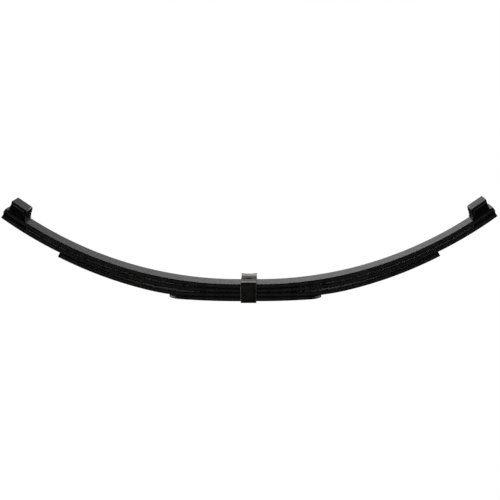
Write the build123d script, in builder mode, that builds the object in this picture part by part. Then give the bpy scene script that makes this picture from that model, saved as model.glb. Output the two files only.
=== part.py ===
"""Four-leaf semi-elliptic leaf spring with a lapped centre band and rubber-cushioned end pads.

Millimetres. X runs along the spring, Y across its width and Z up. The origin is on the
underside of the centre band, on the axis of the centre pin.
"""

import os
from math import cos, pi, radians, sin, sqrt, tan

from build123d import *

# Leaves: flat bars with rounded long edges, clamped on flat seats at the middle.
LEAF_WIDTH = 45.0
LEAF_THICKNESS = 6.3
LEAF_PITCH = 6.35  # seat to seat, so a paint film stays between two leaves
LEAF_EDGE_RADIUS = 1.0
SEAT_HALF_LENGTH = 14.7

# The main leaf is one arc from its seat to its tips, measured on its upper, hollow face.
MAIN_RADIUS = 571.0
MAIN_TIP_ANGLE = 36.7

# The second leaf drops away from the main leaf and then runs beside it at an even gap.
SECOND_DROP = 1.95
SECOND_DROP_HALF_ANGLE = 4.4
SECOND_DROP_ANGLE = 11.9
SECOND_TIP_ANGLE = 36.5

# The third leaf is nearly flat at the middle and closes on the second leaf at its tips.
THIRD_ARCS = [(2400.0, 1.45), (329.0, 12.2), (588.0, 13.9)]

# The fourth leaf is short, flatter than the rest, and thins towards its rounded tips.
# It reaches further on the left of the centre pin than on the right.
FOURTH_LEFT_LENGTH = 118.0
FOURTH_RIGHT_LENGTH = 107.5
FOURTH_UPPER_RADIUS = 2500.0
FOURTH_LOWER_RADIUS = 1150.0
FOURTH_TIP_RADIUS = 16.0
FOURTH_EDGE_RADIUS = 0.8

# Centre band: one strip bent round the leaves, with its ends lapped over the top.
STRAP_THICKNESS = 2.5
STRAP_CLEARANCE = 0.05
STRAP_SIDE_CLEARANCE = 0.15
STRAP_BEND_RADIUS = 1.5
BAND_WIDTH = 23.0
LAP_INSET = 3.6  # how far the hidden lap stops short of the near side
FLAP_START = 19.5
FLAP_REACH = 3.5
FLAP_RISE = 5.3
FLAP_BEND_RADIUS = 4.0
FLAP_HOLLOW_RADIUS = 78.0
FLAP_HOLLOW_DEPTH = 1.9  # from the middle of its end face

# Centre pin. Below it the hole is wider and open, for the dowel of the seat.
PIN_RADIUS = 4.1
PIN_HOLE_RADIUS = 4.2
LAP_HOLE_RADIUS = 5.2
PIN_RECESS = 6.0
PIN_CHAMFER = 0.6
DOWEL_HOLE_RADIUS = 4.5

# End pads, laid out in a frame that stands on the main leaf's upper face near its tip.
PAD_FROM_TIP = 19.7  # along the leaf, from its tip to the pad frame's origin
PAD_HALF_LENGTH = 14.8
PAD_BASE_TOP = 2.3
PAD_BASE_CLEARANCE = 0.05
CAP_UNDERSIDE = 12.4
CAP_TOP = 15.8
CAP_OUTER_TOP = 17.9
CAP_INNER_TOP = -8.3
FLANGE_FOOT = 8.4
FLANGE_THICKNESS = 2.65
CAP_BEND_RADIUS = 2.5
CAP_INSIDE_RADIUS = 0.8
RUBBER_WIDTH = 46.6
RUBBER_CLEARANCE = 0.15
RUBBER_SET_IN = 0.4  # at its outer end
RUBBER_INNER_SET_IN = 0.3  # at its inner end, under the flange
RUBBER_BELOW_FLANGE = 1.5
RUBBER_BEHIND_FLANGE = 0.8
RUBBER_EDGE_RADIUS = 0.2

# Flush rivets: two hold each pad's base to the main leaf, one holds each tip liner.
RIVET_RADIUS = 2.5
RIVET_HEAD_RADIUS = 3.9
RIVET_HEAD_HEIGHT = 1.3
RIVET_HALF_SPACING = 12.0
LINER_RIVET_RADIUS = 2.0
LINER_RIVET_HEAD_RADIUS = 2.9
LINER_RIVET_HEAD_HEIGHT = 0.8
RIVET_CLEARANCE = 0.08
RIVET_SETBACK = 0.05
RIVET_HOLE_OVERRUN = 0.32

# Tip liners between the main and second leaves, from under the pad out to the tip.
LINER_WIDTH = 43.0
LINER_INNER_ANGLE = 1.65  # inwards of the pad frame
LINER_TIP_ANGLE = 36.6  # where it ends, just inside the tip of the main leaf
LINER_CLEARANCE = 0.05

MATCH = 0.01  # how near a position has to be to count as the same

# Worked out from the sizes above.
half_width = LEAF_WIDTH / 2
seat_heights = [
    STRAP_THICKNESS + 4 * LEAF_PITCH - n * LEAF_PITCH for n in range(4)
]  # upper faces, from the main leaf down
arc_centre_height = seat_heights[0] + MAIN_RADIUS
second_radius = MAIN_RADIUS + LEAF_PITCH + SECOND_DROP
pad_angle = MAIN_TIP_ANGLE - PAD_FROM_TIP / MAIN_RADIUS * 180 / pi
sides = {"left": -1, "right": 1}


def dropping_arcs(drop, half_angle, full_angle, final_radius):
    """Two tangent arcs that lower a leaf by drop and hand over to final_radius, centred as its neighbour is."""
    step = drop / (
        sin(radians(half_angle)) * (tan(radians(full_angle / 2)) - tan(radians(half_angle / 2)))
    )
    second = final_radius - step * sin(radians(half_angle)) / sin(radians(full_angle))
    return [(second + step, half_angle), (second, full_angle - half_angle)]


def leaf_bar(seat_height, arcs):
    """A leaf of even thickness, mirrored about the middle. Arcs are (upper face's radius, angle)."""
    foot = seat_height - LEAF_THICKNESS
    with BuildPart() as bar:
        with BuildSketch(Plane.XZ):
            with BuildLine():
                upper = Line((0, seat_height), (SEAT_HALF_LENGTH, seat_height))
                lower = Line((0, foot), (SEAT_HALF_LENGTH, foot))
                for radius, angle in arcs:
                    upper = JernArc(upper @ 1, upper % 1, radius, angle)
                    lower = JernArc(lower @ 1, lower % 1, radius + LEAF_THICKNESS, angle)
                Line(upper @ 1, lower @ 1)
                Line((0, foot), (0, seat_height))
            make_face()
            mirror(about=Plane.YZ)
        extrude(amount=half_width, both=True)
        fillet(long_edges(bar), LEAF_EDGE_RADIUS)
        with Locations((0, 0, seat_height)):
            Cylinder(PIN_HOLE_RADIUS, 3 * LEAF_THICKNESS, mode=Mode.SUBTRACT)
    return bar.part


def long_edges(bar):
    """The edges along the two sides of a leaf, without the short ones at its tips."""
    return bar.edges().filter_by(
        lambda edge: abs(abs(edge.center().Y) - half_width) < MATCH
        and edge.length > 1.5 * LEAF_THICKNESS
    )


def pad_plane(side):
    """Side view of an end pad: x outwards along the leaf, y away from its upper face."""
    a = radians(pad_angle)
    origin = (
        side * (SEAT_HALF_LENGTH + MAIN_RADIUS * sin(a)),
        0,
        arc_centre_height - MAIN_RADIUS * cos(a),
    )
    return Plane(origin=origin, x_dir=(side * cos(a), 0, sin(a)), z_dir=(0, -side, 0))


def rivet(side, across, foot, top, radius, head_radius, head_height, grow=0.0):
    """A rivet with a flush cone at each end, square to the leaf, or with grow the hole for it."""
    overrun = RIVET_HOLE_OVERRUN if grow else 0.0
    low, high = foot - overrun, top + overrun
    body, head = radius + grow, head_radius + grow
    side_view = pad_plane(side)
    lengthwise = side_view.offset(across * side_view.z_dir.Y)
    outline = [
        (0, low),
        (head, low),
        (head, foot),
        (body, foot + head_height),
        (body, top - head_height),
        (head, top),
        (head, high),
        (0, high),
    ]
    with BuildPart() as made:
        with BuildSketch(lengthwise):
            with BuildLine():
                Polyline(*dict.fromkeys(outline), close=True)
            make_face()
        revolve(axis=Axis(lengthwise.origin, lengthwise.y_dir))
    return made.part


def pad_rivet(side, across, grow=0.0):
    return rivet(
        side,
        across,
        RIVET_SETBACK - LEAF_THICKNESS,
        PAD_BASE_TOP - RIVET_SETBACK,
        RIVET_RADIUS,
        RIVET_HEAD_RADIUS,
        RIVET_HEAD_HEIGHT,
        grow,
    )


def liner_rivet(side, grow=0.0):
    leaf_gap_top = MAIN_RADIUS + LEAF_THICKNESS + LINER_CLEARANCE
    second_foot = second_radius + LEAF_THICKNESS
    return rivet(
        side,
        0,
        MAIN_RADIUS - second_foot + RIVET_SETBACK,
        MAIN_RADIUS - leaf_gap_top - RIVET_SETBACK,
        LINER_RIVET_RADIUS,
        LINER_RIVET_HEAD_RADIUS,
        LINER_RIVET_HEAD_HEIGHT,
        grow,
    )


def main_leaf():
    blank = leaf_bar(seat_heights[0], [(MAIN_RADIUS, MAIN_TIP_ANGLE)])
    with BuildPart() as leaf:
        add(blank)
        for side in sides.values():
            for across in (-RIVET_HALF_SPACING, RIVET_HALF_SPACING):
                add(pad_rivet(side, across, RIVET_CLEARANCE), mode=Mode.SUBTRACT)
    return leaf.part


def second_leaf():
    arcs = dropping_arcs(SECOND_DROP, SECOND_DROP_HALF_ANGLE, SECOND_DROP_ANGLE, second_radius)
    arcs.append((second_radius, SECOND_TIP_ANGLE - SECOND_DROP_ANGLE))
    blank = leaf_bar(seat_heights[1], arcs)
    with BuildPart() as leaf:
        add(blank)
        for side in sides.values():
            add(liner_rivet(side, RIVET_CLEARANCE), mode=Mode.SUBTRACT)
    return leaf.part


def third_leaf():
    return leaf_bar(seat_heights[2], THIRD_ARCS)


def fourth_leaf():
    top = seat_heights[3]
    foot = top - LEAF_THICKNESS
    lengths = {-1: FOURTH_LEFT_LENGTH, 1: FOURTH_RIGHT_LENGTH}
    with BuildPart() as leaf:
        with BuildSketch(Plane.XZ):
            with BuildLine():
                for height in (top, foot):
                    Line((-SEAT_HALF_LENGTH, height), (SEAT_HALF_LENGTH, height))
                for side, length in lengths.items():
                    ends = []
                    for height, radius in ((top, FOURTH_UPPER_RADIUS), (foot, FOURTH_LOWER_RADIUS)):
                        rise = radius - sqrt(radius**2 - (length - SEAT_HALF_LENGTH) ** 2)
                        end = (side * length, height + rise)
                        RadiusArc((side * SEAT_HALF_LENGTH, height), end, -side * radius)
                        ends.append(end)
                    Line(*ends)
            make_face()
        extrude(amount=half_width, both=True)
        upright = leaf.edges().filter_by(Axis.Z)
        fillet(upright, FOURTH_TIP_RADIUS)
        fillet(leaf.edges().filter_by(is_rim), FOURTH_EDGE_RADIUS)
        with Locations((0, 0, top)):
            Cylinder(PIN_HOLE_RADIUS, 3 * LEAF_THICKNESS, mode=Mode.SUBTRACT)
        Cylinder(DOWEL_HOLE_RADIUS, 2 * PIN_RECESS, mode=Mode.SUBTRACT)
    return leaf.part


def is_rim(edge):
    """Whether an edge of the fourth leaf runs round its upper or lower face."""
    box = edge.bounding_box().size
    return box.Z < max(box.X, box.Y)


def centre_band():
    half = STRAP_THICKNESS / 2
    side = half_width + STRAP_SIDE_CLEARANCE + half
    inner_lap = seat_heights[0] + STRAP_CLEARANCE + half
    outer_lap = inner_lap + STRAP_THICKNESS + STRAP_CLEARANCE
    corners = [
        (LAP_INSET - side, inner_lap),
        (side, inner_lap),
        (side, half),
        (-side, half),
        (-side, outer_lap),
        (FLAP_START, outer_lap),
        (FLAP_START + FLAP_REACH, outer_lap + FLAP_RISE),
    ]
    bends = [STRAP_BEND_RADIUS] * 4 + [FLAP_BEND_RADIUS]
    with BuildPart() as band:
        with BuildLine(Plane.YZ) as route:
            FilletPolyline(*corners, radius=bends)
        start = route.line @ 0
        with BuildSketch(Plane(origin=start, x_dir=(1, 0, 0), z_dir=route.line % 0)):
            Rectangle(BAND_WIDTH, STRAP_THICKNESS)
        sweep(path=route.line)
        flap_edge = band.faces().sort_by(Axis.Z)[-1].center().Y
        hollow = flap_edge + FLAP_HOLLOW_RADIUS - FLAP_HOLLOW_DEPTH
        with Locations((0, hollow, outer_lap + FLAP_RISE)):
            Cylinder(FLAP_HOLLOW_RADIUS, 2 * FLAP_RISE, mode=Mode.SUBTRACT)
        with Locations((0, 0, outer_lap)):
            Cylinder(LAP_HOLE_RADIUS, outer_lap, mode=Mode.SUBTRACT)
        Cylinder(DOWEL_HOLE_RADIUS, 2 * PIN_RECESS, mode=Mode.SUBTRACT)
    return band.part


def centre_pin():
    low = PIN_RECESS
    high = seat_heights[0] + 2 * STRAP_THICKNESS - PIN_RECESS
    with BuildPart() as pin:
        with Locations((0, 0, low)):
            Cylinder(PIN_RADIUS, high - low, align=(Align.CENTER, Align.CENTER, Align.MIN))
        chamfer(pin.edges().filter_by(GeomType.CIRCLE), PIN_CHAMFER)
    return pin.part


def pad_base(side):
    """A plate with a flat top and an underside that follows the leaf."""
    radius = MAIN_RADIUS - PAD_BASE_CLEARANCE
    end_height = MAIN_RADIUS - sqrt(radius**2 - PAD_HALF_LENGTH**2)
    with BuildPart() as base:
        with BuildSketch(pad_plane(side)):
            with BuildLine():
                Polyline(
                    (-PAD_HALF_LENGTH, end_height),
                    (-PAD_HALF_LENGTH, PAD_BASE_TOP),
                    (PAD_HALF_LENGTH, PAD_BASE_TOP),
                    (PAD_HALF_LENGTH, end_height),
                )
                ThreePointArc(
                    (-PAD_HALF_LENGTH, end_height),
                    (0, PAD_BASE_CLEARANCE),
                    (PAD_HALF_LENGTH, end_height),
                )
            make_face()
        extrude(amount=half_width, both=True)
        for across in (-RIVET_HALF_SPACING, RIVET_HALF_SPACING):
            add(pad_rivet(side, across, RIVET_CLEARANCE), mode=Mode.SUBTRACT)
    return base.part


def outer_line(height):
    """Where the pad's outer end stands at a height above the leaf: it leans outwards."""
    return PAD_HALF_LENGTH + (CAP_OUTER_TOP - PAD_HALF_LENGTH) * height / CAP_TOP


def inner_line(height):
    """Where the pad's inner end stands at a height above the leaf."""
    return -PAD_HALF_LENGTH + (CAP_INNER_TOP + PAD_HALF_LENGTH) * height / CAP_TOP


def pad_cap(side):
    """A steel plate with a short flange down its inner end."""
    with BuildPart() as cap:
        with BuildSketch(pad_plane(side)) as profile:
            with BuildLine():
                Polyline(
                    (inner_line(FLANGE_FOOT), FLANGE_FOOT),
                    (CAP_INNER_TOP, CAP_TOP),
                    (CAP_OUTER_TOP, CAP_TOP),
                    (outer_line(CAP_UNDERSIDE), CAP_UNDERSIDE),
                    (inner_line(CAP_UNDERSIDE) + FLANGE_THICKNESS, CAP_UNDERSIDE),
                    (inner_line(FLANGE_FOOT) + FLANGE_THICKNESS, FLANGE_FOOT),
                    close=True,
                )
            make_face()
            top_corners = profile.vertices().group_by(Axis.Y)[-1]
            fillet(top_corners.sort_by(Axis.X)[0], CAP_BEND_RADIUS)
            underside_corners = profile.vertices().filter_by_position(
                Axis.Y, CAP_UNDERSIDE - MATCH, CAP_UNDERSIDE + MATCH
            )
            fillet(underside_corners.sort_by(Axis.X)[0], CAP_INSIDE_RADIUS)
        extrude(amount=half_width, both=True)
    return cap.part


def pad_rubber(side):
    """The block between base and cap, set back under the cap's flange."""
    low = PAD_BASE_TOP + RUBBER_CLEARANCE
    high = CAP_UNDERSIDE - RUBBER_CLEARANCE
    behind_flange = FLANGE_THICKNESS + RUBBER_BEHIND_FLANGE
    step = FLANGE_FOOT - RUBBER_BELOW_FLANGE
    with BuildPart() as rubber:
        with BuildSketch(pad_plane(side)):
            with BuildLine():
                Polyline(
                    (inner_line(low) + RUBBER_INNER_SET_IN, low),
                    (inner_line(step) + RUBBER_INNER_SET_IN, step),
                    (inner_line(step) + behind_flange, step + RUBBER_SET_IN),
                    (inner_line(high) + behind_flange, high),
                    (outer_line(high) - RUBBER_SET_IN, high),
                    (outer_line(low) - RUBBER_SET_IN, low),
                    close=True,
                )
            make_face()
        extrude(amount=RUBBER_WIDTH / 2, both=True)
        near_and_far = rubber.edges().filter_by(
            lambda edge: abs(abs(edge.center().Y) - RUBBER_WIDTH / 2) < MATCH
        )
        fillet(near_and_far, RUBBER_EDGE_RADIUS)
    return rubber.part


def tip_liner(side):
    """A strip bent to fill the gap between the main and second leaves at their tips."""
    outer = MAIN_RADIUS + LEAF_THICKNESS + LINER_CLEARANCE
    inner = second_radius - LINER_CLEARANCE
    with BuildPart() as liner:
        with BuildSketch(pad_plane(side)):
            with BuildLine():
                sweep_angle = LINER_INNER_ANGLE + LINER_TIP_ANGLE - pad_angle
                faces = [
                    CenterArc((0, MAIN_RADIUS), radius, -90 - LINER_INNER_ANGLE, sweep_angle)
                    for radius in (outer, inner)
                ]
                for end in (0, 1):
                    Line(faces[0] @ end, faces[1] @ end)
            make_face()
        extrude(amount=LINER_WIDTH / 2, both=True)
        add(liner_rivet(side, RIVET_CLEARANCE), mode=Mode.SUBTRACT)
    return liner.part


pieces = {
    "main_leaf": main_leaf(),
    "second_leaf": second_leaf(),
    "third_leaf": third_leaf(),
    "fourth_leaf": fourth_leaf(),
    "centre_band": centre_band(),
    "centre_pin": centre_pin(),
}
for name, side in sides.items():
    pieces[f"{name}_pad_base"] = pad_base(side)
    pieces[f"{name}_pad_rubber"] = pad_rubber(side)
    pieces[f"{name}_pad_cap"] = pad_cap(side)
    pieces[f"{name}_pad_near_rivet"] = pad_rivet(side, -RIVET_HALF_SPACING)
    pieces[f"{name}_pad_far_rivet"] = pad_rivet(side, RIVET_HALF_SPACING)
    pieces[f"{name}_tip_liner"] = tip_liner(side)
    pieces[f"{name}_liner_rivet"] = liner_rivet(side)

os.makedirs("parts", exist_ok=True)
for name, piece in pieces.items():
    piece.label = name
    export_step(piece, f"parts/{name}.step")
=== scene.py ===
"""Looks for the four-leaf spring: painted leaves, a lapped strap and moulded end pads."""

from math import atan2, ceil, cos, hypot, pi, radians, sin, sqrt, tan

import bmesh
import bpy
from mathutils import Matrix, Vector


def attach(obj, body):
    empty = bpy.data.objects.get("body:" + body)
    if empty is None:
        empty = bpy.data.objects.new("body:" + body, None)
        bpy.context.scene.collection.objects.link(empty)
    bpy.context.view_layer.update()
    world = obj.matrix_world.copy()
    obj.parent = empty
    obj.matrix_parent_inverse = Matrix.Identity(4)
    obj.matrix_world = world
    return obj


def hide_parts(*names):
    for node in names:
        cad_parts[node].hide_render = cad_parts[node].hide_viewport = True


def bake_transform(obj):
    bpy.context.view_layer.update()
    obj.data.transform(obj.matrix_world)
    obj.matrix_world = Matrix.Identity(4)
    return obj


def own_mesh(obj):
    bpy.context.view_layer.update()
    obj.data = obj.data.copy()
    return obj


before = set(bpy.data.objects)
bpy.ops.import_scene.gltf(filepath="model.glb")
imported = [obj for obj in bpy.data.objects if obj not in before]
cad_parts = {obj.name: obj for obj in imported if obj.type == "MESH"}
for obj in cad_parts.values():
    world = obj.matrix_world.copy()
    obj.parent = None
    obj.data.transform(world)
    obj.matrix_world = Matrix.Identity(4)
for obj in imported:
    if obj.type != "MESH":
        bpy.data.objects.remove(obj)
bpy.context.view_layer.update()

# Sizes in metres and degrees. The part has the same ones, apart from some edges' rounding.
LEAF_WIDTH = 0.045
LEAF_THICKNESS = 0.0063
LEAF_PITCH = 0.00635
LEAF_EDGE_RADIUS = 0.0004
SEAT_HALF_LENGTH = 0.0147
STRAP_THICKNESS = 0.0025
MAIN_RADIUS = 0.571
MAIN_TIP_ANGLE = 36.7
SECOND_DROP = 0.00195
SECOND_DROP_HALF_ANGLE = 4.4
SECOND_DROP_ANGLE = 11.9
SECOND_TIP_ANGLE = 36.5
THIRD_ARCS = [(2.4, 1.45), (0.329, 12.2), (0.588, 13.9)]  # radius and angle of each
FOURTH_LENGTHS = {"left": 0.118, "right": 0.1075}
FOURTH_UPPER_RADIUS = 2.5
FOURTH_LOWER_RADIUS = 1.15
FOURTH_TIP_RADIUS = 0.016
STRAP_GAP = 0.00005
STRAP_SIDE_GAP = 0.00015
STRAP_BEND_RADIUS = 0.0015
STRAP_EDGE_RADIUS = 0.0004
BAND_WIDTH = 0.023
LAP_INSET = 0.0036
FLAP_START = 0.0195
FLAP_REACH = 0.0035
FLAP_RISE = 0.0053
FLAP_BEND_RADIUS = 0.004
FLAP_HOLLOW_RADIUS = 0.078
FLAP_HOLLOW_DEPTH = 0.0019
PIN_HOLE_RADIUS = 0.0042
LAP_HOLE_RADIUS = 0.0052
DOWEL_HOLE_RADIUS = 0.0045
PAD_FROM_TIP = 0.0197
PAD_HALF_LENGTH = 0.0148
PAD_BASE_TOP = 0.0023
CAP_UNDERSIDE = 0.0124
CAP_TOP = 0.0158
CAP_OUTER_TOP = 0.0179
CAP_INNER_TOP = -0.0083
FLANGE_FOOT = 0.0084
FLANGE_THICKNESS = 0.00265
CAP_BEND_RADIUS = 0.0025
CAP_INSIDE_RADIUS = 0.0008
RUBBER_WIDTH = 0.0466
RUBBER_GAP = 0.00015
RUBBER_SET_IN = 0.0004
RUBBER_INNER_SET_IN = 0.0003
RUBBER_BELOW_FLANGE = 0.0015
RUBBER_BEHIND_FLANGE = 0.0008
RUBBER_EDGE = 0.0008
RUBBER_WAIST = 0.0002
LINER_WIDTH = 0.043
LINER_INNER_ANGLE = 1.65
LINER_TIP_ANGLE = 36.6
LINER_RIVET_HEAD_RADIUS = 0.0029
LINER_RIVET_HEAD_HEIGHT = 0.0008
GAP = 0.00005

# How the pieces are drawn, rounded and cut.
STATION_SPACING = 0.003
END_STEPS = 4
LEAF_END_ROUND = 0.0005
FOURTH_END_ROUND = 0.0006
STRAP_END_INSET = 0.0003
SMALLEST_EDGE_RADIUS = 0.0001
PLATE_EDGE_RADIUS = 0.0004
SHARP_ANGLE = 25  # a plate's edges that turn more than this are rounded
SMOOTH_ANGLE = 40  # and its edges that turn less than this are shaded smooth
LARGE_FACE = 0.0001  # square metres; a face over this is shaded flat
WIDE_FACE_SHARES = (0.02, 0.12, 0.3, 0.5, 0.7, 0.88, 0.98)  # where a section has points on a bar's
NARROW_FACE_SHARES = (0.25, 0.5, 0.75)  # wide and narrow faces, as shares of their width
END_UV_SHIFT = 1  # keeps a bar's ends clear of its sides in its UV map
FLAP_HOLLOW_SEGMENTS = 360
RIVET_RECESS_GAP = 0.0001
RIVET_RECESS_RADIUS = LINER_RIVET_HEAD_RADIUS + RIVET_RECESS_GAP
RIVET_RECESS_CUT = 2.4 * LINER_RIVET_HEAD_HEIGHT  # half of it goes into the leaf
LEAF_CUT_HEIGHT, LEAF_CUT = 0.02, 0.06  # the middle and length of the cut through all the leaves
LAP_CUT_HEIGHT, STRAP_CUT = 0.03, 0.02  # the strap is cut above and below the leaves
UPWARDS = (0, 0, 1)

half_width = LEAF_WIDTH / 2
seat_heights = [STRAP_THICKNESS + (4 - n) * LEAF_PITCH for n in range(4)]
arc_centre_height = seat_heights[0] + MAIN_RADIUS
second_radius = MAIN_RADIUS + LEAF_PITCH + SECOND_DROP
pad_angle = radians(MAIN_TIP_ANGLE) - PAD_FROM_TIP / MAIN_RADIUS
sides = {"left": -1, "right": 1}


# ---------------------------------------------------------------- materials

RANGE_INPUTS = ("From Min", "From Max", "To Min", "To Max")
MOTTLE_SCALE, DUST_SCALE, RUB_SCALE = 0.12, 0.6, 0.35  # of the grain's scale
MOTTLE_STRETCH = (1.0, 0.7, 1.0)
STREAK_STRETCH = (0.04, 1.0, 1.0)
# The stretch of a noise over which the colour, dust, wear and gloss go from one end to the other.
COLOUR_SPREAD = (0.38, 0.66)
DUST_SPREAD = (0.6, 0.75)
RUB_SPREAD = (0.56, 0.7)
GLOSS_SPREAD = (0.3, 0.7)
STREAK_GLOSS = 0.10
STREAK_RELIEF = 0.6
RELIEF_DISTANCE = 0.0002
WORN_SHINE = 0.1  # of the shine away from the edges


def map_range(tree, value, numbers, interpolation="LINEAR"):
    """Takes value from one range to another, numbers being the ends of the first and the second."""
    node = tree.nodes.new("ShaderNodeMapRange")
    node.interpolation_type = interpolation
    for key, number in zip(RANGE_INPUTS, numbers):
        node.inputs[key].default_value = number
    tree.links.new(value, node.inputs["Value"])
    return node.outputs["Result"]


def finish_material(
    name,
    dark,
    light,
    roughness,
    specular,
    grain,
    streak,
    bump,
    speck=None,
    wear=None,
    metallic=0.0,
    coordinates="Object",
    painted_edge_shade=None,
):
    """A finish with mottled colour, uneven gloss, fine grain and long faint streaks.

    dark and light are the two colours it wanders between, roughness is its low and high value,
    grain and streak are texture scales per metre, and speck and wear add dust and rubbed edges.
    Where the wear goes, the shine is duller as well. The colour given after wear is painted shade,
    laid darker all along the edges.
    """
    material = bpy.data.materials.new(name)
    material.use_nodes = True
    tree = material.node_tree
    nodes, link = tree.nodes, tree.links.new
    shader = nodes["Principled BSDF"]
    shader.inputs["Metallic"].default_value = metallic
    shader.inputs["Specular IOR Level"].default_value = specular
    place = nodes.new("ShaderNodeTexCoord").outputs[coordinates]

    def noise(scale, detail, rough, stretch=(1, 1, 1)):
        mapping = nodes.new("ShaderNodeMapping")
        mapping.inputs["Scale"].default_value = [scale * s for s in stretch]
        link(place, mapping.inputs["Vector"])
        texture = nodes.new("ShaderNodeTexNoise")
        texture.inputs["Scale"].default_value = 1.0
        texture.inputs["Detail"].default_value = detail
        texture.inputs["Roughness"].default_value = rough
        link(mapping.outputs["Vector"], texture.inputs["Vector"])
        return texture.outputs["Fac"]

    def spread(value, limits, results=(0.0, 1.0)):
        return map_range(tree, value, (*limits, *results))

    def mix_colour(factor, a, b):
        node = nodes.new("ShaderNodeMix")
        node.data_type = "RGBA"
        for key, value in (("Factor", factor), ("A", a), ("B", b)):
            spot = [i for i in node.inputs if i.name == key and i.enabled][0]
            if isinstance(value, bpy.types.NodeSocket):
                link(value, spot)
            else:
                spot.default_value = (*value, 1.0)
        return [o for o in node.outputs if o.enabled][0]

    def add(a, b, scale):
        node = nodes.new("ShaderNodeMath")
        node.operation = "MULTIPLY_ADD"
        link(b, node.inputs[0])
        node.inputs[1].default_value = scale
        link(a, node.inputs[2])
        return node.outputs[0]

    mottle = noise(grain * MOTTLE_SCALE, detail=5.0, rough=0.6, stretch=MOTTLE_STRETCH)
    fine = noise(grain, detail=3.0, rough=0.6)
    lines = noise(streak, detail=3.0, rough=0.5, stretch=STREAK_STRETCH)
    colour = mix_colour(spread(mottle, COLOUR_SPREAD), dark, light)
    if speck is not None:
        dust = spread(noise(grain * DUST_SCALE, detail=6.0, rough=0.7), DUST_SPREAD)
        colour = mix_colour(dust, colour, speck)
    if wear is not None:
        attribute = nodes.new("ShaderNodeAttribute")
        attribute.attribute_name = "edge"
        edge = attribute.outputs["Fac"]
        rub = nodes.new("ShaderNodeMath")
        rub.operation = "MULTIPLY"
        link(edge, rub.inputs[0])
        patches = noise(grain * RUB_SCALE, detail=4.0, rough=0.6)
        link(spread(patches, RUB_SPREAD), rub.inputs[1])
        colour = mix_colour(rub.outputs[0], colour, wear)
        shine = spread(edge, (0.0, 1.0), (specular, WORN_SHINE * specular))
        link(shine, shader.inputs["Specular IOR Level"])
        # painted shade: the colour given after wear darkens all the marked edges
        if painted_edge_shade is not None:
            colour = mix_colour(edge, colour, painted_edge_shade)
    link(colour, shader.inputs["Base Color"])
    gloss = add(spread(mottle, GLOSS_SPREAD, roughness), lines, STREAK_GLOSS)
    link(gloss, shader.inputs["Roughness"])
    relief = nodes.new("ShaderNodeBump")
    relief.inputs["Strength"].default_value = bump
    relief.inputs["Distance"].default_value = RELIEF_DISTANCE
    link(add(fine, lines, STREAK_RELIEF), relief.inputs["Height"])
    link(relief.outputs["Normal"], shader.inputs["Normal"])
    return material


leaf_paint = finish_material(
    "leaf_paint",
    dark=(0.0045, 0.0045, 0.0044),
    light=(0.008, 0.0079, 0.0075),
    roughness=(0.17, 0.24),
    specular=0.5,
    grain=700,
    streak=420,
    bump=0.045,
    speck=(0.010, 0.0097, 0.009),
    wear=(0.004, 0.0038, 0.0035),
    coordinates="UV",
    # painted shade, dark along the leaves' rounded edges and ends
    painted_edge_shade=(0.0009, 0.0009, 0.0009),
)
band_paint = finish_material(
    "band_paint",
    dark=(0.165, 0.161, 0.155),
    light=(0.24, 0.233, 0.223),
    roughness=(0.27, 0.35),
    specular=0.5,
    grain=900,
    streak=500,
    bump=0.15,
    speck=(0.29, 0.28, 0.265),
    wear=(0.27, 0.26, 0.25),
    metallic=1.0,
    coordinates="UV",
)
pad_paint = finish_material(
    "pad_paint",
    dark=(0.0009, 0.0009, 0.0009),
    light=(0.0024, 0.0023, 0.0022),
    roughness=(0.24, 0.27),
    specular=0.35,
    grain=800,
    streak=500,
    bump=0.06,
    speck=(0.005, 0.0048, 0.0045),
)
rubber = finish_material(
    "pad_rubber",
    dark=(0.0005, 0.0005, 0.0005),
    light=(0.0012, 0.0012, 0.0012),
    roughness=(0.17, 0.26),
    specular=0.5,
    grain=1100,
    streak=600,
    bump=0.08,
    speck=(0.004, 0.004, 0.0038),
)
base_skin = finish_material(
    "base_skin",
    dark=(0.0007, 0.0007, 0.0007),
    light=(0.0014, 0.0014, 0.0014),
    roughness=(0.4, 0.55),
    specular=0.08,
    grain=1100,
    streak=600,
    bump=0.2,
    speck=(0.003, 0.003, 0.0028),
)
plastic = finish_material(
    "liner_plastic",
    dark=(0.001, 0.001, 0.001),
    light=(0.002, 0.002, 0.0021),
    roughness=(0.26, 0.38),
    specular=0.3,
    grain=900,
    streak=600,
    bump=0.12,
)
rivet_steel = finish_material(
    "rivet_steel",
    dark=(0.05, 0.05, 0.05),
    light=(0.1, 0.098, 0.095),
    roughness=(0.35, 0.5),
    specular=0.5,
    grain=1500,
    streak=900,
    bump=0.2,
    metallic=1.0,
)
pin_steel = finish_material(
    "pin_steel",
    dark=(0.01, 0.0095, 0.009),
    light=(0.025, 0.023, 0.021),
    roughness=(0.4, 0.6),
    specular=0.5,
    grain=1500,
    streak=900,
    bump=0.2,
    metallic=1.0,
)


# ---------------------------------------------------------------- mesh helpers


def finished_mesh(maker, name):
    """The mesh that maker has built."""
    mesh = bpy.data.meshes.new(name)
    maker.to_mesh(mesh)
    maker.free()
    return mesh


def new_object(name, mesh, material):
    """A visible piece made of that mesh."""
    mesh.materials.append(material)
    piece = bpy.data.objects.new(name, mesh)
    bpy.context.scene.collection.objects.link(piece)
    return piece


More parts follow.
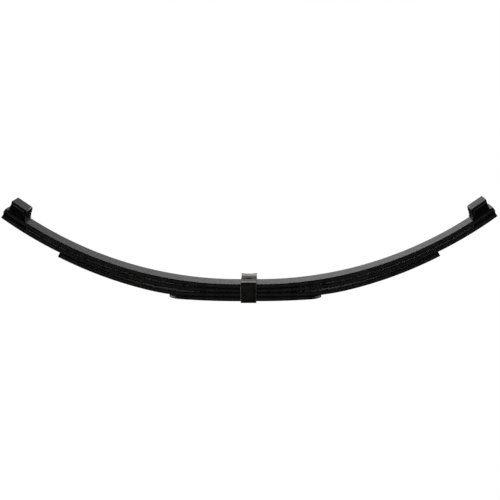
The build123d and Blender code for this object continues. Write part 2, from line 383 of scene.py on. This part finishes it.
def section(half_wide, thickness, edge_radius, inset, round_steps=4):
    """Points (across, up, edge) round a bar's section, up measured from its upper face.

    edge is 1 on the rounded edges and 0 on the faces between them.
    """
    radius = max(edge_radius - inset, SMALLEST_EDGE_RADIUS)
    wide, top, foot = half_wide - inset, -inset, inset - thickness
    corners = [
        (wide - radius, top - radius, 0),
        (-wide + radius, top - radius, 90),
        (-wide + radius, foot + radius, 180),
        (wide - radius, foot + radius, 270),
    ]
    points = []
    for corner, (across, up, start) in enumerate(corners):
        for step in range(round_steps + 1):
            angle = radians(start + 90 * step / round_steps)
            points.append((across + radius * cos(angle), up + radius * sin(angle), 1.0))
        following = corners[(corner + 1) % 4]
        if corner in (0, 2):
            level = points[-1][1]
            for share in WIDE_FACE_SHARES:
                points.append((across + (following[0] - across) * share, level, 0.0))
        else:
            side = points[-1][0]
            for share in NARROW_FACE_SHARES:
                points.append((side, up + (following[1] - up) * share, 0.0))
    return points


def sweep(name, stations, material, edge_radius, turn_over=False):
    """A bar through stations (origin, across, up, half_width, thickness, inset), closed at both ends.

    Its UV map is the run along the bar and the way round its section, in metres.
    """
    maker = bmesh.new()
    uv = maker.loops.layers.uv.new("UVMap")
    rings, runs, marks = [], [0.0], []
    for n, (origin, across, up, half_wide, thickness, inset) in enumerate(stations):
        if n:
            runs.append(runs[-1] + (origin - stations[n - 1][0]).length)
        points = section(half_wide, thickness, edge_radius, inset)
        rings.append([maker.verts.new(origin + y * across + h * up) for y, h, _ in points])
        marks += [edge if inset == 0 else 1.0 for _, _, edge in points]
    widest = section(stations[0][3], stations[0][4], edge_radius, 0)
    around = [0.0]
    for here, there in zip(widest, widest[1:] + widest[:1]):
        around.append(around[-1] + hypot(there[0] - here[0], there[1] - here[1]))
    count = len(widest)
    for i in range(len(rings) - 1):
        for j in range(count):
            k = (j + 1) % count
            corners = [rings[i][j], rings[i + 1][j], rings[i + 1][k], rings[i][k]]
            places = [
                (runs[i], around[j]),
                (runs[i + 1], around[j]),
                (runs[i + 1], around[j + 1]),
                (runs[i], around[j + 1]),
            ]
            if turn_over:
                corners.reverse()
                places.reverse()
            face = maker.faces.new(corners)
            face.smooth = True
            for loop, spot in zip(face.loops, places):
                loop[uv].uv = spot
    for ring, flip in ((rings[0], turn_over), (rings[-1], not turn_over)):
        face = maker.faces.new(list(reversed(ring)) if flip else ring)
        for loop, (y, h, _) in zip(face.loops, reversed(widest) if flip else widest):
            loop[uv].uv = (y + END_UV_SHIFT, h)
    bmesh.ops.recalc_face_normals(maker, faces=maker.faces)
    mesh = finished_mesh(maker, name)
    mesh.attributes.new("edge", "FLOAT", "POINT").data.foreach_set("value", marks)
    return new_object(name, mesh, material)


def cut_hole(piece, centre, direction, radius, depth, segments=48):
    """Cuts a round hole of that depth through a piece, half of it on each side of centre."""
    maker = bmesh.new()
    turn = Vector(direction).to_track_quat("Z", "Y").to_matrix().to_4x4()
    bmesh.ops.create_cone(
        maker, cap_ends=True, segments=segments, radius1=radius, radius2=radius, depth=depth,
        matrix=Matrix.Translation(centre) @ turn,
    )
    mesh = finished_mesh(maker, "cutter")
    cutter = bpy.data.objects.new("cutter", mesh)
    bpy.context.scene.collection.objects.link(cutter)
    boolean = piece.modifiers.new("hole", "BOOLEAN")
    boolean.operation = "DIFFERENCE"
    boolean.solver = "EXACT"
    boolean.object = cutter
    bpy.context.view_layer.update()
    cut = bpy.data.meshes.new_from_object(
        piece.evaluated_get(bpy.context.evaluated_depsgraph_get())
    )
    piece.modifiers.clear()
    whole, piece.data = piece.data, cut
    bpy.data.objects.remove(cutter)
    bpy.data.meshes.remove(mesh)
    bpy.data.meshes.remove(whole)


def prism(name, outline, place, half_wide, material):
    """A solid with that side view from near to far side, with all its sharp edges rounded.

    place turns a point (x, h) of the outline, and y, into the row frame.
    """
    maker = bmesh.new()
    near = [maker.verts.new(place(x, -half_wide, h)) for x, h in outline]
    far = [maker.verts.new(place(x, half_wide, h)) for x, h in outline]
    count = len(outline)
    maker.faces.new(near)
    maker.faces.new(list(reversed(far)))
    for n in range(count):
        m = (n + 1) % count
        maker.faces.new((near[n], far[n], far[m], near[m]))
    bmesh.ops.recalc_face_normals(maker, faces=maker.faces)
    sharp = [edge for edge in maker.edges if edge.calc_face_angle() > radians(SHARP_ANGLE)]
    bmesh.ops.bevel(
        maker, geom=sharp, offset=PLATE_EDGE_RADIUS, offset_type="OFFSET", segments=3, profile=0.5,
        affect="EDGES", clamp_overlap=True,
    )
    for face in maker.faces:
        face.smooth = face.calc_area() < LARGE_FACE
    for edge in maker.edges:
        edge.smooth = edge.calc_face_angle(0) < radians(SMOOTH_ANGLE)
    return new_object(name, finished_mesh(maker, name), material)


def dropping_arcs(drop, half_angle, full_angle, final_radius):
    """Two arcs (radius, degrees) that lower a leaf by drop, onto a circle of final_radius."""
    step = drop / (
        sin(radians(half_angle)) * (tan(radians(full_angle / 2)) - tan(radians(half_angle / 2)))
    )
    second = final_radius - step * sin(radians(half_angle)) / sin(radians(full_angle))
    return [(second + step, half_angle), (second, full_angle - half_angle)]


def bar_station(side, x, z, angle, half_wide, thickness, inset):
    """A station of a bar across the spring, x being its distance to that side of the middle."""
    up = Vector((-side * sin(angle), 0, cos(angle)))
    return (Vector((side * x, 0, z)), Vector((0, 1, 0)), up, half_wide, thickness, inset)


def leaf_stations(side, seat, arcs, seat_steps=5):
    """Stations of a leaf of even thickness, from its middle to a tip with a rounded end."""
    path = [(SEAT_HALF_LENGTH * n / seat_steps, seat, 0.0) for n in range(seat_steps + 1)]
    x, z, angle = path[-1]
    for radius, turn in arcs:
        steps = ceil(radius * radians(turn) / STATION_SPACING)
        cx, cz = x - radius * sin(angle), z + radius * cos(angle)
        for n in range(1, steps + 1):
            at = angle + radians(turn) * n / steps
            path.append((cx + radius * sin(at), cz - radius * cos(at), at))
        x, z, angle = path[-1]
    stations = [bar_station(side, *p, half_width, LEAF_THICKNESS, 0.0) for p in path[:-1]]
    for n in range(END_STEPS + 1):
        lean = radians(90 * n / END_STEPS)
        back = LEAF_END_ROUND * (1 - sin(lean))
        inset = LEAF_END_ROUND * (1 - cos(lean))
        tip = (x - back * cos(angle), z - back * sin(angle), angle)
        stations.append(bar_station(side, *tip, half_width, LEAF_THICKNESS, inset))
    return stations


def fourth_stations(side, tip, seat_steps=4, straight_steps=26, tip_steps=16):
    """Stations of the short leaf, which thins and is rounded in plan at its tip."""
    top, foot = seat_heights[3], seat_heights[3] - LEAF_THICKNESS
    straight = tip - FOURTH_TIP_RADIUS
    xs = [SEAT_HALF_LENGTH * n / seat_steps for n in range(seat_steps + 1)]
    for n in range(1, straight_steps + 1):
        xs.append(SEAT_HALF_LENGTH + (straight - SEAT_HALF_LENGTH) * n / straight_steps)
    for n in range(1, tip_steps):
        xs.append(straight + FOURTH_TIP_RADIUS * sin(radians(90 * n / tip_steps)))

    def faces(x):
        run = max(0.0, x - SEAT_HALF_LENGTH)
        upper = top + FOURTH_UPPER_RADIUS - sqrt(FOURTH_UPPER_RADIUS**2 - run**2)
        lower = foot + FOURTH_LOWER_RADIUS - sqrt(FOURTH_LOWER_RADIUS**2 - run**2)
        return upper, lower

    stations = []
    for x in xs:
        upper, lower = faces(x)
        beyond = max(0.0, x - straight)
        narrowing = FOURTH_TIP_RADIUS - sqrt(FOURTH_TIP_RADIUS**2 - beyond**2)
        stations.append(bar_station(side, x, upper, 0.0, half_width - narrowing, upper - lower, 0.0))
    upper, lower = faces(tip)
    wide = stations[-1][3]
    for n in range(1, END_STEPS + 1):
        lean = radians(90 * n / END_STEPS)
        x = xs[-1] + (tip - xs[-1]) * sin(lean)
        inset = FOURTH_END_ROUND * (1 - cos(lean))
        stations.append(bar_station(side, x, upper, 0.0, wide, upper - lower, inset))
    return stations


# ---------------------------------------------------------------- leaves

second_arcs = dropping_arcs(SECOND_DROP, SECOND_DROP_HALF_ANGLE, SECOND_DROP_ANGLE, second_radius)
second_arcs.append((second_radius, SECOND_TIP_ANGLE - SECOND_DROP_ANGLE))
second_foot = MAIN_RADIUS - second_radius - LEAF_THICKNESS


def pad_place(side):
    """Turns a point of an end pad's side view, x outwards and h up from the leaf, into the row frame."""

    def place(x, y, h):
        return Vector((
            side * (SEAT_HALF_LENGTH + (MAIN_RADIUS - h) * sin(pad_angle) + x * cos(pad_angle)),
            y,
            arc_centre_height - (MAIN_RADIUS - h) * cos(pad_angle) + x * sin(pad_angle),
        ))

    return place


for name, side in sides.items():
    place = pad_place(side)
    pad_axis = place(0, 0, 1) - place(0, 0, 0)
    leaf_lines = {
        "main_leaf": leaf_stations(side, seat_heights[0], [(MAIN_RADIUS, MAIN_TIP_ANGLE)]),
        "second_leaf": leaf_stations(side, seat_heights[1], second_arcs),
        "third_leaf": leaf_stations(side, seat_heights[2], THIRD_ARCS),
        "fourth_leaf": fourth_stations(side, FOURTH_LENGTHS[name]),
    }
    for leaf, stations in leaf_lines.items():
        piece = sweep(f"{leaf}_{name}", stations, leaf_paint, LEAF_EDGE_RADIUS, side < 0)
        radius = DOWEL_HOLE_RADIUS if leaf == "fourth_leaf" else PIN_HOLE_RADIUS
        cut_hole(piece, (0, 0, LEAF_CUT_HEIGHT), UPWARDS, radius, LEAF_CUT)
        if leaf == "second_leaf":
            recess = place(0, 0, second_foot)
            cut_hole(piece, recess, pad_axis, RIVET_RECESS_RADIUS, RIVET_RECESS_CUT)
        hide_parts(leaf)
        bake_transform(piece)


# ---------------------------------------------------------------- centre band


def turned(arm, angle):
    """A flat vector turned by that angle."""
    return Vector((arm.x * cos(angle) - arm.y * sin(angle), arm.x * sin(angle) + arm.y * cos(angle)))


def strap_route(steps=8):
    """The strap's centreline from its hidden lap to its turned-up end, as (y, z, direction)."""
    half = STRAP_THICKNESS / 2
    reach = half_width + STRAP_SIDE_GAP + half
    inner_lap = seat_heights[0] + STRAP_GAP + half
    outer_lap = inner_lap + STRAP_THICKNESS + STRAP_GAP
    corners = [
        (LAP_INSET - reach, inner_lap),
        (reach, inner_lap),
        (reach, half),
        (-reach, half),
        (-reach, outer_lap),
        (FLAP_START, outer_lap),
        (FLAP_START + FLAP_REACH, outer_lap + FLAP_RISE),
    ]
    bends = [0] + [STRAP_BEND_RADIUS] * 4 + [FLAP_BEND_RADIUS, 0]
    route, last = [], corners[0]
    for n in range(1, len(corners)):
        before, here = Vector(corners[n - 1]), Vector(corners[n])
        heading = (here - before).normalized()
        angle = atan2(heading.y, heading.x)
        turn, cut = 0.0, 0.0
        if n < len(corners) - 1:
            after = (Vector(corners[n + 1]) - here).normalized()
            turn = atan2(heading.x * after.y - heading.y * after.x, heading.dot(after))
            cut = bends[n] * tan(abs(turn) / 2)
        stop = here - heading * cut
        length = (stop - Vector(last)).length
        pieces = max(1, ceil(length / STATION_SPACING))
        for k in range(pieces if n < len(corners) - 1 else pieces + 1):
            route.append((*(Vector(last) + (stop - Vector(last)) * k / pieces), angle))
        if turn:
            way = 1 if turn > 0 else -1
            hub = stop + Vector((-heading.y, heading.x)) * bends[n] * way
            arm = stop - hub
            for k in range(steps):
                part = turn * k / steps
                route.append((*(hub + turned(arm, part)), angle + part))
            last = tuple(hub + turned(arm, turn))
    return route


route = strap_route()
strap_stations = []
for n, (y, z, angle) in enumerate(route):
    out = Vector((0, sin(angle), -cos(angle)))
    inset = STRAP_END_INSET if n in (0, len(route) - 1) else 0.0
    strap_stations.append((
        Vector((0, y, z)) + out * STRAP_THICKNESS / 2, Vector((1, 0, 0)), out,
        BAND_WIDTH / 2, STRAP_THICKNESS, inset,
    ))
band = sweep("centre_band_strap", strap_stations, band_paint, STRAP_EDGE_RADIUS)
cut_hole(band, (0, 0, LAP_CUT_HEIGHT), UPWARDS, LAP_HOLE_RADIUS, STRAP_CUT)
flap_y, flap_z = route[-1][:2]
hollow_centre = (0, flap_y + FLAP_HOLLOW_RADIUS - FLAP_HOLLOW_DEPTH, flap_z)
cut_hole(band, hollow_centre, UPWARDS, FLAP_HOLLOW_RADIUS, 2 * FLAP_RISE, FLAP_HOLLOW_SEGMENTS)
cut_hole(band, (0, 0, 0), UPWARDS, DOWEL_HOLE_RADIUS, STRAP_CUT)
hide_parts("centre_band")
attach(band, "centre")


# ---------------------------------------------------------------- end pads


def outer_line(h):
    """Where a pad's sloping outer side is at that height."""
    return PAD_HALF_LENGTH + (CAP_OUTER_TOP - PAD_HALF_LENGTH) * h / CAP_TOP


def inner_line(h):
    """Where its sloping inner side is."""
    return -PAD_HALF_LENGTH + (CAP_INNER_TOP + PAD_HALF_LENGTH) * h / CAP_TOP


def rounded(outline, corner, radius, steps=8):
    """The outline with one corner rounded."""
    here = Vector(outline[corner])
    arms = [
        (Vector(outline[n % len(outline)]) - here).normalized() for n in (corner - 1, corner + 1)
    ]
    half = arms[0].angle(arms[1]) / 2
    middle = (arms[0] + arms[1]).normalized()
    hub = here + middle * radius / sin(half)
    starts = [here + arm * radius / tan(half) - hub for arm in arms]
    arc = []
    for n in range(steps + 1):
        share = n / steps
        spoke = starts[0].slerp(starts[1], share) * radius
        arc.append(tuple(hub + spoke))
    return outline[:corner] + arc + outline[corner + 1:]


def cap_outline():
    """Side view of a cap: a flat top with a flange turned down at its inner end."""
    outline = [
        (inner_line(FLANGE_FOOT), FLANGE_FOOT),
        (CAP_INNER_TOP, CAP_TOP),
        (CAP_OUTER_TOP, CAP_TOP),
        (outer_line(CAP_UNDERSIDE), CAP_UNDERSIDE),
        (inner_line(CAP_UNDERSIDE) + FLANGE_THICKNESS, CAP_UNDERSIDE),
        (inner_line(FLANGE_FOOT) + FLANGE_THICKNESS, FLANGE_FOOT),
    ]
    outline = rounded(outline, 4, CAP_INSIDE_RADIUS)
    return rounded(outline, 1, CAP_BEND_RADIUS)


def base_outline(steps=12):
    """Side view of a base, which is curved underneath to sit on the main leaf."""
    radius = MAIN_RADIUS - GAP
    under = []
    for n in range(steps + 1):
        x = PAD_HALF_LENGTH * (1 - 2 * n / steps)
        under.append((x, MAIN_RADIUS - sqrt(radius**2 - x**2)))
    return [(-PAD_HALF_LENGTH, PAD_BASE_TOP), (PAD_HALF_LENGTH, PAD_BASE_TOP)] + under


def rubber_block(name, place, level_steps=16, corner_steps=5):
    """A moulded block in level rings, with a step behind the flange and rounded top and foot edges."""
    low, high = PAD_BASE_TOP + RUBBER_GAP, CAP_UNDERSIDE - RUBBER_GAP
    step = FLANGE_FOOT - RUBBER_BELOW_FLANGE
    top_set_in = FLANGE_THICKNESS + RUBBER_BEHIND_FLANGE
    levels = [low + (high - low) * n / level_steps for n in range(level_steps + 1)]
    levels += [low + RUBBER_EDGE / 3, high - RUBBER_EDGE / 3, step, step + RUBBER_SET_IN]
    levels.sort()
    maker = bmesh.new()
    rings = []
    for h in levels:
        near_end = max(0.0, min(h - low, high - h))
        pull = 0.0
        if near_end < RUBBER_EDGE:
            pull = RUBBER_EDGE - sqrt(RUBBER_EDGE**2 - (RUBBER_EDGE - near_end) ** 2)
        behind = min(max((h - step) / RUBBER_SET_IN, 0.0), 1.0)
        set_in = RUBBER_INNER_SET_IN + behind * (top_set_in - RUBBER_INNER_SET_IN)
        inner = inner_line(h) + set_in + pull
        outer = outer_line(h) - RUBBER_SET_IN - pull
        wide = RUBBER_WIDTH / 2 - pull - RUBBER_WAIST * (1 - sin(pi * (h - low) / (high - low)))
        ring = []
        for cx, cy, start in (
            (outer - RUBBER_EDGE, wide - RUBBER_EDGE, 0),
            (inner + RUBBER_EDGE, wide - RUBBER_EDGE, 90),
            (inner + RUBBER_EDGE, RUBBER_EDGE - wide, 180),
            (outer - RUBBER_EDGE, RUBBER_EDGE - wide, 270),
        ):
            for n in range(corner_steps + 1):
                angle = radians(start + 90 * n / corner_steps)
                x, y = cx + RUBBER_EDGE * cos(angle), cy + RUBBER_EDGE * sin(angle)
                ring.append(maker.verts.new(place(x, y, h)))
        rings.append(ring)
    for h, lower, upper in zip(levels, rings, rings[1:]):
        for n in range(len(lower)):
            m = (n + 1) % len(lower)
            face = maker.faces.new((lower[n], lower[m], upper[m], upper[n]))
            face.smooth = h != step
            face.material_index = 1 if h == step else 0
    maker.faces.new(rings[0])
    maker.faces.new(list(reversed(rings[-1])))
    bmesh.ops.recalc_face_normals(maker, faces=maker.faces)
    mesh = finished_mesh(maker, name)
    block = new_object(name, mesh, rubber)
    mesh.materials.append(base_skin)
    return block


def liner_outline(steps=16):
    """Side view of a tip liner, as (radius, angle) about the centre of the main leaf's arc."""
    turn = radians(LINER_TIP_ANGLE + LINER_INNER_ANGLE) - pad_angle
    first = pad_angle - radians(LINER_INNER_ANGLE)
    faces = []
    for radius in (MAIN_RADIUS + LEAF_THICKNESS + GAP, second_radius - GAP):
        faces.append([(radius, first + turn * n / steps) for n in range(steps + 1)])
    return faces[0] + list(reversed(faces[1]))


def liner_place(side):
    """Turns a point of a liner's side view into the row frame."""

    def place(radius, y, angle):
        return Vector((
            side * (SEAT_HALF_LENGTH + radius * sin(angle)), y, arc_centre_height - radius * cos(angle)
        ))

    return place


for name, side in sides.items():
    place = pad_place(side)
    cap = prism(f"{name}_pad_cap_plate", cap_outline(), place, half_width, pad_paint)
    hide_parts(f"{name}_pad_cap")
    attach(cap, f"{name}_cap")
    base = prism(f"{name}_pad_base_plate", base_outline(), place, half_width, base_skin)
    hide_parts(f"{name}_pad_base")
    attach(base, f"{name}_end")
    block = rubber_block(f"{name}_pad_rubber_block", place)
    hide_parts(f"{name}_pad_rubber")
    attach(block, f"{name}_end")
    foot = place(0, 0, PAD_BASE_TOP + RUBBER_GAP)
    tuple(place(0, 0, 1) - place(0, 0, 0))
    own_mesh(block)
    liner = prism(
        f"{name}_tip_liner_strip", liner_outline(), liner_place(side), LINER_WIDTH / 2, plastic
    )
    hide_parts(f"{name}_tip_liner")
    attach(liner, f"{name}_end")


# ---------------------------------------------------------------- carried-over nodes

finishes = {"centre_pin": pin_steel, "rivet": rivet_steel}
for node_name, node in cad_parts.items():
    for key, material in finishes.items():
        if node_name.endswith(key):
            for material_slot in node.material_slots:
                material_slot.material = material


# ---------------------------------------------------------------- stage, light, camera

FLOOR_RADIUS = 2.9
FLOOR_COLOUR = (0.02, 0.02, 0.02, 1)
FLOOR_GLOW = 0.99
COVE_RADIUS = 1.2
COVE_STEPS = 15
WALL_TOP = 2.8
STAGE_SIDES = 96
WHITE = (1, 1, 1, 1)

floor_material = bpy.data.materials.new("studio_floor")
floor_material.use_nodes = True
floor_shader = floor_material.node_tree.nodes["Principled BSDF"]
floor_shader.inputs["Base Color"].default_value = FLOOR_COLOUR
floor_shader.inputs["Roughness"].default_value = 1.0
floor_shader.inputs["Specular IOR Level"].default_value = 0.0
floor_shader.inputs["Emission Color"].default_value = WHITE
floor_shader.inputs["Emission Strength"].default_value = FLOOR_GLOW

stage_outline = [(FLOOR_RADIUS, 0.0)]
for n in range(1, COVE_STEPS + 1):
    climb = radians(90 * n / COVE_STEPS)
    stage_outline.append((FLOOR_RADIUS + COVE_RADIUS * sin(climb), COVE_RADIUS * (1 - cos(climb))))
stage_outline.append((FLOOR_RADIUS + COVE_RADIUS, WALL_TOP))
stage_maker = bmesh.new()
around = [2 * pi * n / STAGE_SIDES for n in range(STAGE_SIDES)]
stage_rings = []
for r, z in stage_outline:
    stage_rings.append([stage_maker.verts.new((r * cos(angle), r * sin(angle), z)) for angle in around])
stage_maker.faces.new(stage_rings[0])
for low, high in zip(stage_rings, stage_rings[1:]):
    for n in range(STAGE_SIDES):
        m = (n + 1) % STAGE_SIDES
        stage_maker.faces.new((low[n], low[m], high[m], high[n])).smooth = True
floor = new_object("studio_floor", finished_mesh(stage_maker, "studio_floor"), floor_material)
floor.visible_glossy = False
floor.visible_shadow = False

# A dim room: a glow behind the object, some light overhead, and a low lamp at each end.
# Each ramp runs between two places along one axis of the view direction, and between two values.
ROOM = {
    "behind": ("Y", 0.0, 0.7, 0.0, 1.0),
    "above_floor": ("Z", -0.06, 0.04, 0.0, 1.0),
    "glow": ("Z", 0.06, 0.25, 1.35, 0.06),
    "overhead": ("Z", 0.5, 0.8, 0.0, 1.1),
    "below_lamp": ("Z", -0.45, -0.3, 0.0, 1.0),
    "above_lamp": ("Z", 0.02, -0.05, 0.0, 1.0),
    "left_lamp": ("X", -0.7, -0.85, 0.0, 2.4),
    "right_lamp": ("X", 0.7, 0.85, 0.0, 1.3),
}

world = bpy.data.worlds.new("studio")
bpy.context.scene.world = world
world.use_nodes = True
sky = world.node_tree
direction = sky.nodes.new("ShaderNodeTexCoord").outputs["Generated"]
split = sky.nodes.new("ShaderNodeSeparateXYZ")
sky.links.new(direction, split.inputs[0])


def sky_math(operation, a, b):
    """The sum or product of two of the room's values."""
    node = sky.nodes.new("ShaderNodeMath")
    node.operation = operation
    sky.links.new(a, node.inputs[0])
    sky.links.new(b, node.inputs[1])
    return node.outputs[0]


room = {
    ramp: map_range(sky, split.outputs[axis], numbers, "SMOOTHSTEP")
    for ramp, (axis, *numbers) in ROOM.items()
}
back_light = sky_math("MULTIPLY", sky_math("MULTIPLY", room["above_floor"], room["behind"]), room["glow"])
lamps = sky_math("ADD", room["left_lamp"], room["right_lamp"])
lamp_band = sky_math("MULTIPLY", room["below_lamp"], room["above_lamp"])
low_light = sky_math("MULTIPLY", lamp_band, lamps)
total = sky_math("ADD", sky_math("ADD", back_light, room["overhead"]), low_light)
background = sky.nodes["Background"]
sky.links.new(total, background.inputs["Strength"])
background.inputs["Color"].default_value = WHITE

KEY_LENGTH, KEY_WIDTH = 2.4, 0.8
KEY_POWER = 9
KEY_PLACE = (0, -1.22, 1.88)
KEY_TILT = radians(33)

key_data = bpy.data.lights.new("overhead_softbox", "AREA")
key_data.shape = "RECTANGLE"
key_data.size = KEY_LENGTH
key_data.size_y = KEY_WIDTH
key_data.energy = KEY_POWER
key_light = bpy.data.objects.new("overhead_softbox", key_data)
key_light.location = KEY_PLACE
key_light.rotation_euler = (KEY_TILT, 0, 0)
bpy.context.scene.collection.objects.link(key_light)

CAMERA_DISTANCE = 2.0
CAMERA_PITCH = radians(8.95)
CAMERA_YAW = radians(-1.80)
CAMERA_ROLL = radians(-0.41)
CAMERA_TARGET = Vector((0.00203, 0, 0.0756))
CAMERA_LENS = 97.1  # millimetres
CAMERA_SENSOR = 36  # millimetres
CAMERA_CLIP_START = 0.05

ahead = cos(CAMERA_PITCH)
look = Vector((sin(CAMERA_YAW) * ahead, cos(CAMERA_YAW) * ahead, -sin(CAMERA_PITCH)))
level = Vector((cos(CAMERA_YAW), -sin(CAMERA_YAW), 0))
upright = level.cross(look)
right = cos(CAMERA_ROLL) * level + sin(CAMERA_ROLL) * upright
up = cos(CAMERA_ROLL) * upright - sin(CAMERA_ROLL) * level
camera_data = bpy.data.cameras.new("camera")
camera_data.lens = CAMERA_LENS
camera_data.sensor_width = CAMERA_SENSOR
camera_data.dof.use_dof = False
camera_data.clip_start = CAMERA_CLIP_START
camera = bpy.data.objects.new("camera", camera_data)
facing = Matrix((right, up, -look)).transposed().to_4x4()
camera.matrix_world = Matrix.Translation(CAMERA_TARGET - CAMERA_DISTANCE * look) @ facing
bpy.context.scene.collection.objects.link(camera)
bpy.context.scene.camera = camera
bpy.context.scene.view_settings.view_transform = "Standard"
